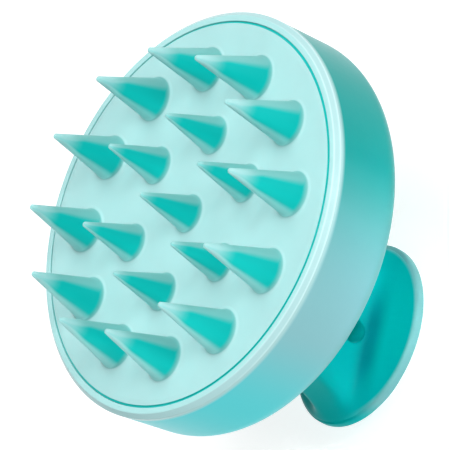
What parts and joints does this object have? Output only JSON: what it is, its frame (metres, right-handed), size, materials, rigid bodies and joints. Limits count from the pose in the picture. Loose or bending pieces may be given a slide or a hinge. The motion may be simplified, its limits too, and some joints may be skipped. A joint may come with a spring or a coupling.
{
  "type": "scalp massager brush",
  "caption": "Round palm-held scalp massager brush: a dished silicone pad with rings of conical flexing bristles in a glossy shell, on a flared neck with a tilted oval disc handle.",
  "frame": {"origin": "on the head's axis, at the height of the flat palm face of the handle, on which the brush stands", "axes": "+Z along the head's axis towards the bristles; the handle disc stands off the axis towards -X and its -X end is tilted 6.4 degrees towards the head; the bristles flex along X"},
  "size_m": [0.085, 0.085, 0.0716],
  "materials": {
    "shell_plastic": "glossy moulded mint ABS",
    "pad_silicone": "satin mint silicone",
    "bristle_silicone": "satin mint silicone, slightly translucent at the tips",
    "inner_plastic": "fine-textured moulded ABS",
    "screw_steel": "zinc plated"
  },
  "bodies": {
    "housing": {"head_shell": "shell_plastic", "backing_plate": "inner_plastic", "plate_screws": "screw_steel", "handle_neck": "shell_plastic", "neck_screws": "screw_steel", "handle_cap": "shell_plastic"},
    "pad": {"bristle_pad": "pad_silicone"},
    "outer_bristle_01": {"outer_bristle_01": "bristle_silicone"},
    "outer_bristle_02": {"outer_bristle_02": "bristle_silicone"},
    "outer_bristle_03": {"outer_bristle_03": "bristle_silicone"},
    "outer_bristle_04": {"outer_bristle_04": "bristle_silicone"},
    "outer_bristle_05": {"outer_bristle_05": "bristle_silicone"},
    "outer_bristle_06": {"outer_bristle_06": "bristle_silicone"},
    "outer_bristle_07": {"outer_bristle_07": "bristle_silicone"},
    "outer_bristle_08": {"outer_bristle_08": "bristle_silicone"},
    "outer_bristle_09": {"outer_bristle_09": "bristle_silicone"},
    "outer_bristle_10": {"outer_bristle_10": "bristle_silicone"},
    "outer_bristle_11": {"outer_bristle_11": "bristle_silicone"},
    "outer_bristle_12": {"outer_bristle_12": "bristle_silicone"},
    "inner_bristle_01": {"inner_bristle_01": "bristle_silicone"},
    "inner_bristle_02": {"inner_bristle_02": "bristle_silicone"},
    "inner_bristle_03": {"inner_bristle_03": "bristle_silicone"},
    "inner_bristle_04": {"inner_bristle_04": "bristle_silicone"},
    "inner_bristle_05": {"inner_bristle_05": "bristle_silicone"},
    "inner_bristle_06": {"inner_bristle_06": "bristle_silicone"},
    "centre_bristle": {"centre_bristle": "bristle_silicone"}
  },
  "joints": [
    {"name": "pad_pull_off", "type": "slide", "parent": "housing", "child": "pad", "axis": [0, 0, 1], "range_m": [0, 0.02]},
    {"name": "outer_bristle_01_flex", "type": "hinge", "parent": "pad", "child": "outer_bristle_01", "pos_m": [0.03, 0, 0.0606], "axis": [0, 1, 0], "range_deg": [-20, 20], "stiffness_Nm_per_rad": 0.03},
    {"name": "outer_bristle_02_flex", "type": "hinge", "parent": "pad", "child": "outer_bristle_02", "pos_m": [0.02598, 0.015, 0.0606], "axis": [0, 1, 0], "range_deg": [-20, 20], "stiffness_Nm_per_rad": 0.03},
    {"name": "outer_bristle_03_flex", "type": "hinge", "parent": "pad", "child": "outer_bristle_03", "pos_m": [0.015, 0.02598, 0.0606], "axis": [0, 1, 0], "range_deg": [-20, 20], "stiffness_Nm_per_rad": 0.03},
    {"name": "outer_bristle_04_flex", "type": "hinge", "parent": "pad", "child": "outer_bristle_04", "pos_m": [0, 0.03, 0.0606], "axis": [0, 1, 0], "range_deg": [-20, 20], "stiffness_Nm_per_rad": 0.03},
    {"name": "outer_bristle_05_flex", "type": "hinge", "parent": "pad", "child": "outer_bristle_05", "pos_m": [-0.015, 0.02598, 0.0606], "axis": [0, 1, 0], "range_deg": [-20, 20], "stiffness_Nm_per_rad": 0.03},
    {"name": "outer_bristle_06_flex", "type": "hinge", "parent": "pad", "child": "outer_bristle_06", "pos_m": [-0.02598, 0.015, 0.0606], "axis": [0, 1, 0], "range_deg": [-20, 20], "stiffness_Nm_per_rad": 0.03},
    {"name": "outer_bristle_07_flex", "type": "hinge", "parent": "pad", "child": "outer_bristle_07", "pos_m": [-0.03, 0, 0.0606], "axis": [0, 1, 0], "range_deg": [-20, 20], "stiffness_Nm_per_rad": 0.03},
    {"name": "outer_bristle_08_flex", "type": "hinge", "parent": "pad", "child": "outer_bristle_08", "pos_m": [-0.02598, -0.015, 0.0606], "axis": [0, 1, 0], "range_deg": [-20, 20], "stiffness_Nm_per_rad": 0.03},
    {"name": "outer_bristle_09_flex", "type": "hinge", "parent": "pad", "child": "outer_bristle_09", "pos_m": [-0.015, -0.02598, 0.0606], "axis": [0, 1, 0], "range_deg": [-20, 20], "stiffness_Nm_per_rad": 0.03},
    {"name": "outer_bristle_10_flex", "type": "hinge", "parent": "pad", "child": "outer_bristle_10", "pos_m": [0, -0.03, 0.0606], "axis": [0, 1, 0], "range_deg": [-20, 20], "stiffness_Nm_per_rad": 0.03},
    {"name": "outer_bristle_11_flex", "type": "hinge", "parent": "pad", "child": "outer_bristle_11", "pos_m": [0.015, -0.02598, 0.0606], "axis": [0, 1, 0], "range_deg": [-20, 20], "stiffness_Nm_per_rad": 0.03},
    {"name": "outer_bristle_12_flex", "type": "hinge", "parent": "pad", "child": "outer_bristle_12", "pos_m": [0.02598, -0.015, 0.0606], "axis": [0, 1, 0], "range_deg": [-20, 20], "stiffness_Nm_per_rad": 0.03},
    {"name": "inner_bristle_01_flex", "type": "hinge", "parent": "pad", "child": "inner_bristle_01", "pos_m": [0.01167, 0.01167, 0.05946], "axis": [0, 1, 0], "range_deg": [-20, 20], "stiffness_Nm_per_rad": 0.03},
    {"name": "inner_bristle_02_flex", "type": "hinge", "parent": "pad", "child": "inner_bristle_02", "pos_m": [-0.00427, 0.01594, 0.05946], "axis": [0, 1, 0], "range_deg": [-20, 20], "stiffness_Nm_per_rad": 0.03},
    {"name": "inner_bristle_03_flex", "type": "hinge", "parent": "pad", "child": "inner_bristle_03", "pos_m": [-0.01594, 0.00427, 0.05946], "axis": [0, 1, 0], "range_deg": [-20, 20], "stiffness_Nm_per_rad": 0.03},
    {"name": "inner_bristle_04_flex", "type": "hinge", "parent": "pad", "child": "inner_bristle_04", "pos_m": [-0.01167, -0.01167, 0.05946], "axis": [0, 1, 0], "range_deg": [-20, 20], "stiffness_Nm_per_rad": 0.03},
    {"name": "inner_bristle_05_flex", "type": "hinge", "parent": "pad", "child": "inner_bristle_05", "pos_m": [0.00427, -0.01594, 0.05946], "axis": [0, 1, 0], "range_deg": [-20, 20], "stiffness_Nm_per_rad": 0.03},
    {"name": "inner_bristle_06_flex", "type": "hinge", "parent": "pad", "child": "inner_bristle_06", "pos_m": [0.01594, -0.00427, 0.05946], "axis": [0, 1, 0], "range_deg": [-20, 20], "stiffness_Nm_per_rad": 0.03},
    {"name": "centre_bristle_flex", "type": "hinge", "parent": "pad", "child": "centre_bristle", "pos_m": [0, 0, 0.05928], "axis": [0, 1, 0], "range_deg": [-20, 20], "stiffness_Nm_per_rad": 0.03}
  ]
}
